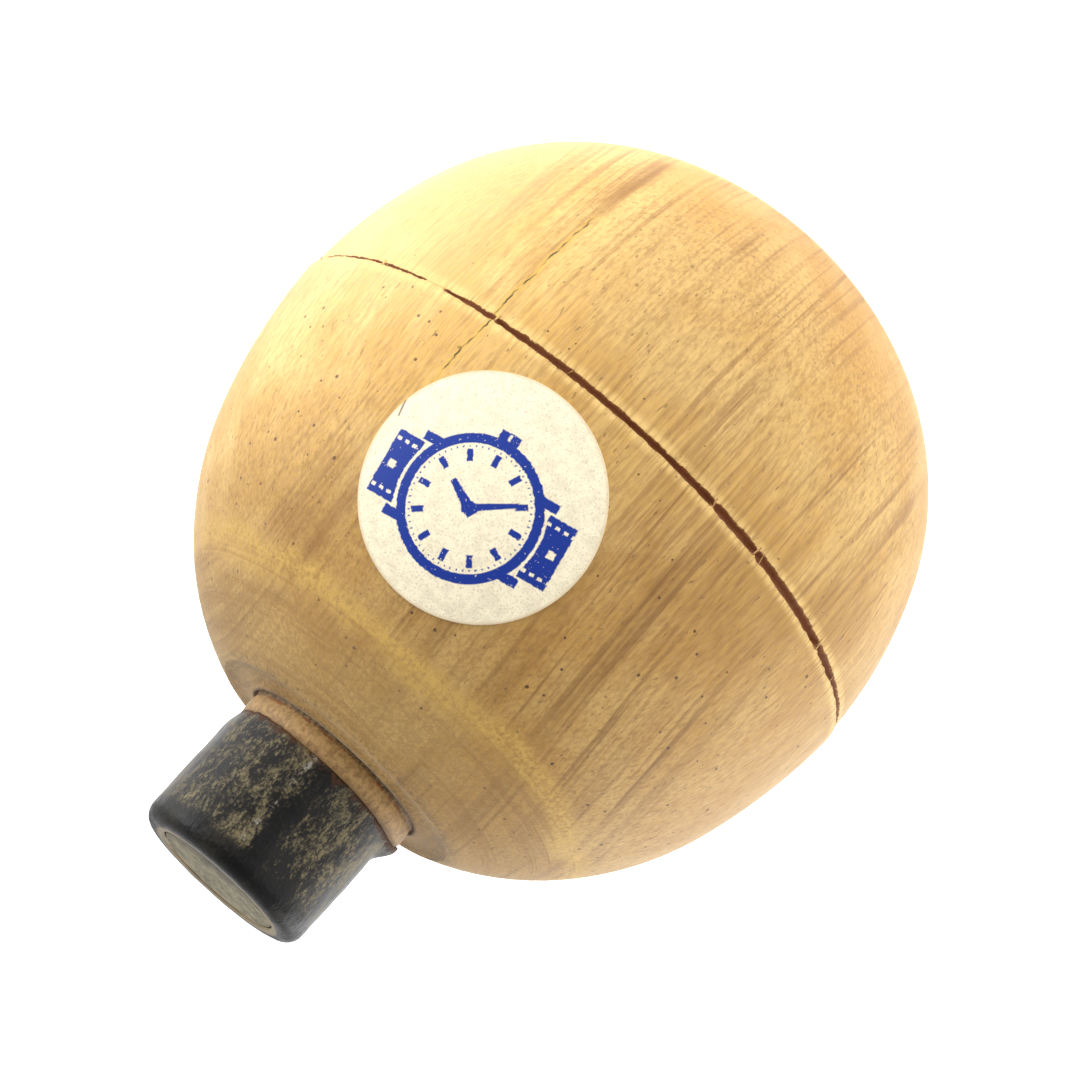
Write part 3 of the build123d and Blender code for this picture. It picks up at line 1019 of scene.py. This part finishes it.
print("sticker's middle at", tuple(round(v, 2) for v in middle))

# %% [markdown]
# ## Finish of the sticker
# Cream paper with grey flecks, printed in one deep blue. The print is a plain drawing of a wristwatch
# lying on its side, which says what the tool is for: case, crown, hands, hour marks and two strap ends.
# It is worked out from distances on the flat sticker, with a little noise where ink creeps in paper.

# %% Place on the print
PRINT_TILT = math.radians(8.6)
PRINT_DROP = 1.2
paper_finish, paper, at = start_finish("label_paper")
flat_place = paper.node("ShaderNodeUVMap", {"uv_map": "print"})
creep = paper.noise(paper.stretch(at, 3.2, 3.2, 3.2), 2.0, 0.6)
flat_u, flat_v, _ = paper.split(flat_place)
flat_u = (flat_u - 0.5) * (2 * STICKER_R)
flat_v = (flat_v - 0.5) * (2 * STICKER_R)
flat_low = flat_v + PRINT_DROP
along = flat_u * math.cos(PRINT_TILT) + flat_low * math.sin(PRINT_TILT) + (creep - 0.5) * 0.22
upward = flat_low * math.cos(PRINT_TILT) - flat_u * math.sin(PRINT_TILT) + (creep - 0.5) * 0.22
out_from_hub = (along * along + upward * upward) ** 0.5
clock_turn = upward.math("ARCTAN2", upward, along) / (2 * math.pi)

# %% Shapes of the print
INK_EDGE = 0.05


def below(value, limit):
    """1 where value is under the limit, with an edge as soft as ink on paper."""
    return paper.step(value, limit + INK_EDGE, limit - INK_EDGE)


def ring_shape(low, high):
    """A ring about the hub, between two radii."""
    return below(abs(out_from_hub - (low + high) / 2), (high - low) / 2)


def box_shape(right, up, half_wide, half_high):
    """A rectangle about a point."""
    return below(abs(along - right), half_wide) * below(abs(upward - up), half_high)


def marks(count, low, high, half_wide):
    """Marks all round the hub, pointing at it."""
    nearest = clock_turn * count
    off_mark = abs(nearest - nearest.math("ROUND", nearest)) * (2 * math.pi / count)
    return below(off_mark * out_from_hub, half_wide) * ring_shape(low, high)


def hand(clock_angle, length, half_wide):
    """A tapered hand from the hub, pointing at an angle above the print's right."""
    turned = math.radians(clock_angle)
    reach = along * math.cos(turned) + upward * math.sin(turned)
    off_line = abs(upward * math.cos(turned) - along * math.sin(turned))
    taper = half_wide * (1.15 - 0.5 * reach / length)
    return below(off_line - taper, 0.0) * below(abs(reach - length / 2 + 0.3), length / 2 + 0.3)


case = ring_shape(4.9, 5.65) | marks(12, 3.5, 4.45, 0.24) | marks(60, 4.58, 4.74, 0.05)
dial_hands = hand(150, 2.5, 0.36) | hand(32, 3.7, 0.26) | ring_shape(0.0, 0.55)
crown = box_shape(0.0, 5.95, 0.85, 0.4) * (1 - box_shape(0.0, 5.98, 0.1, 0.26))
strap = below(abs(abs(along) - 6.65), 1.15) * below(abs(upward), 2.6) * below(-1 * out_from_hub, -5.9)
stitches = along.math("SINE", along * 9.0)
stitch_row = below(abs(abs(upward) - 1.95), 0.13) * paper.step(stitches, -0.3, 0.1)
buckle_hole = below(abs(upward), 0.3) * below(abs(abs(along) - 7.0), 0.3)
strap = strap * (1 - stitch_row) * (1 - buckle_hole)
lugs = below(abs(abs(along) - 5.1), 0.75) * below(abs(abs(upward) - 3.15), 0.38)
lugs = lugs * below(-1 * out_from_hub, -5.3)
ink = case | dial_hands | crown | strap | lugs

# %% Colour, gloss and relief of the paper
PAPER_CREAM = paint(253, 242, 211)
PAPER_GREY = paint(206, 192, 166)
EDGE_TAN = paint(214, 190, 148)
INK_BLUE = paint(12, 50, 146)
MARK_BROWN = paint(96, 78, 52)
PAPER_BUMP = 0.03
pulp = paper.noise(paper.stretch(at, 1.1, 1.1, 1.1, 7.0), 3.0, 0.6)
fleck = paper.noise(paper.stretch(at, 6.5, 6.5, 6.5, 21.0), 3.0, 0.75)
gap_in_ink = paper.step(paper.noise(paper.stretch(at, 5.0, 5.0, 5.0, 33.0), 1.0), 0.7, 0.76)
mark_off = abs(flat_u * 0.96 + flat_v * 0.28 + 8.35)
steel_glint_and_paper_scuff = below(mark_off, 0.07) * below(abs(flat_v - 1.7), 0.9)
from_edge = (flat_u * flat_u + flat_v * flat_v) ** 0.5
paper_colour = paper.mix(paper.step(pulp, 0.4, 0.65) * 0.3, PAPER_CREAM, PAPER_GREY)
paper_colour = paper.mix(paper.step(fleck, 0.51, 0.64) * 0.7, paper_colour, PAPER_GREY)
paper_colour = paper.mix(paper.step(from_edge, 9.2, 9.52) * 0.6, paper_colour, EDGE_TAN)
paper_colour = paper.mix(ink * (1 - 0.6 * gap_in_ink), paper_colour, INK_BLUE)
paper_colour = paper.mix(steel_glint_and_paper_scuff * 0.8, paper_colour, MARK_BROWN)
finish_surface(
    paper,
    fleck * 0.4 + pulp * 0.4 - steel_glint_and_paper_scuff,
    PAPER_BUMP,
    {"Base Color": paper_colour, "Roughness": 0.62 - 0.14 * ink, "Specular IOR Level": 0.35},
)
put_in_scene(sticker, "round_sticker", "paper_label", paper_finish)
